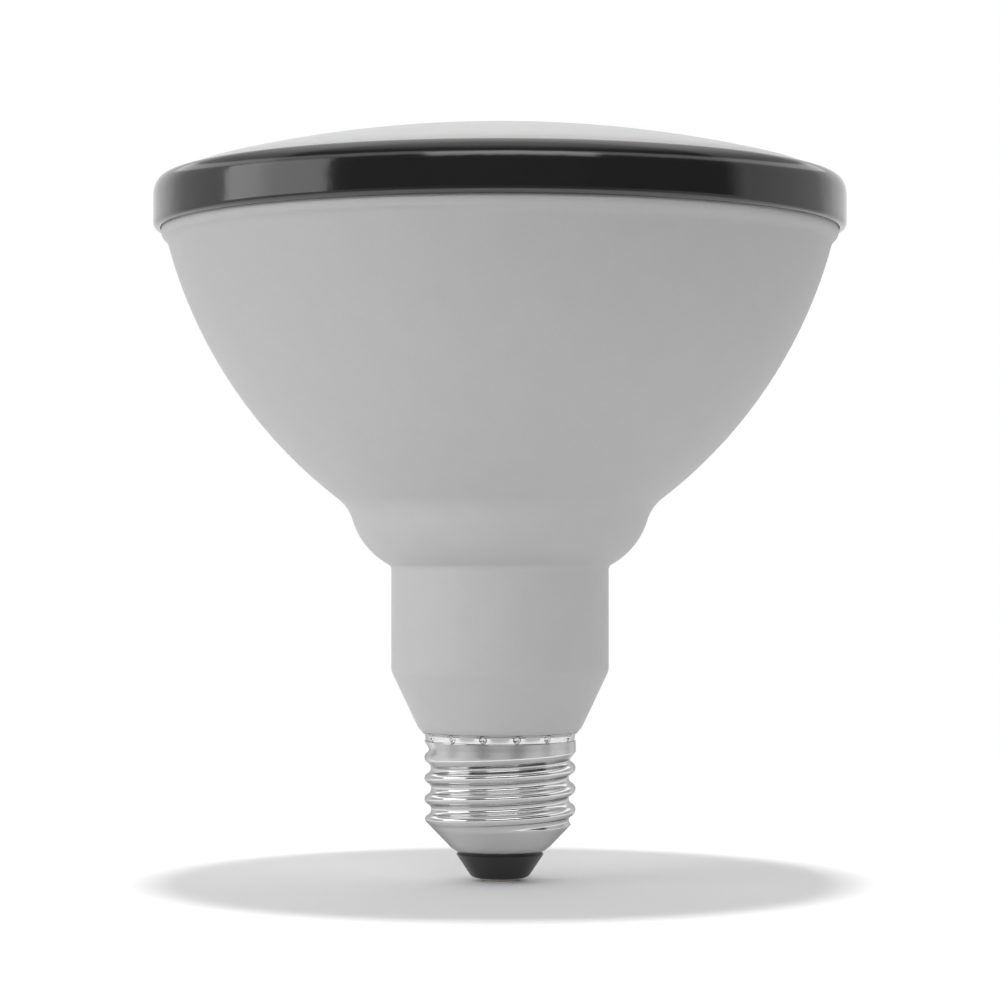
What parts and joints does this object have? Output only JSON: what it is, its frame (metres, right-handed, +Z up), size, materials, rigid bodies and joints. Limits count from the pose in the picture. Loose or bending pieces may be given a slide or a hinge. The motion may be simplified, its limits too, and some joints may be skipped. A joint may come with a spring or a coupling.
{
  "type": "reflector flood lamp",
  "caption": "Reflector flood lamp with a flared bowl, a domed frosted lens under a trim ring, and a medium Edison screw cap with its centre contact.",
  "frame": {"origin": "centre of the centre contact's flat face, at the lamp's lowest point", "axes": "+Z up the lamp's axis from the cap to the lens, -Y towards the picture's camera"},
  "size_m": [0.1206, 0.1206, 0.1308],
  "materials": {
    "lens_frost": "frosted white polycarbonate",
    "ring_black": "glossy black",
    "housing_grey": "matte pale grey with a fine grain",
    "shell_nickel": "bright nickel plate on rolled sheet",
    "insulator_black": "satin black",
    "contact_metal": "dull tinned brass",
    "gasket_rubber": "grey silicone",
    "reflector_white": "satin white",
    "plate_aluminium": "plain stamped",
    "light_board_white": "white coating on aluminium",
    "phosphor_yellow": "soft phosphor fill",
    "screw_steel": "zinc plated",
    "terminal_white": "moulded",
    "driver_board_green": "solder mask on glass laminate",
    "film_case": "moulded box",
    "ferrite_grey": "ground ferrite",
    "winding_tape": "polyester tape",
    "can_sleeve": "shrunk sleeve",
    "fuse_body": "dipped coating",
    "package_black": "moulded epoxy",
    "lead_black": "wire insulation",
    "lead_white": "wire insulation",
    "lead_red": "wire insulation"
  },
  "bodies": {
    "root": {"front_lens": "lens_frost", "trim_ring": "ring_black", "bowl": "housing_grey", "neck": "housing_grey", "screw_shell": "shell_nickel", "cap_insulator": "insulator_black", "center_contact": "contact_metal", "lens_gasket": "gasket_rubber", "reflector_cup": "reflector_white", "heat_spreader": "plate_aluminium", "led_board": "light_board_white", "led_packages": "phosphor_yellow", "board_screws": "screw_steel", "board_terminal": "terminal_white", "driver_board": "driver_board_green", "film_capacitor": "film_case", "transformer_core": "ferrite_grey", "transformer_winding": "winding_tape", "filter_capacitor": "can_sleeve", "fuse_resistor": "fuse_body", "line_choke": "ferrite_grey", "bridge_rectifier": "package_black", "driver_chip": "package_black", "live_lead": "lead_black", "neutral_lead": "lead_white", "led_lead_positive": "lead_red", "led_lead_negative": "lead_black"}
  },
  "joints": []
}
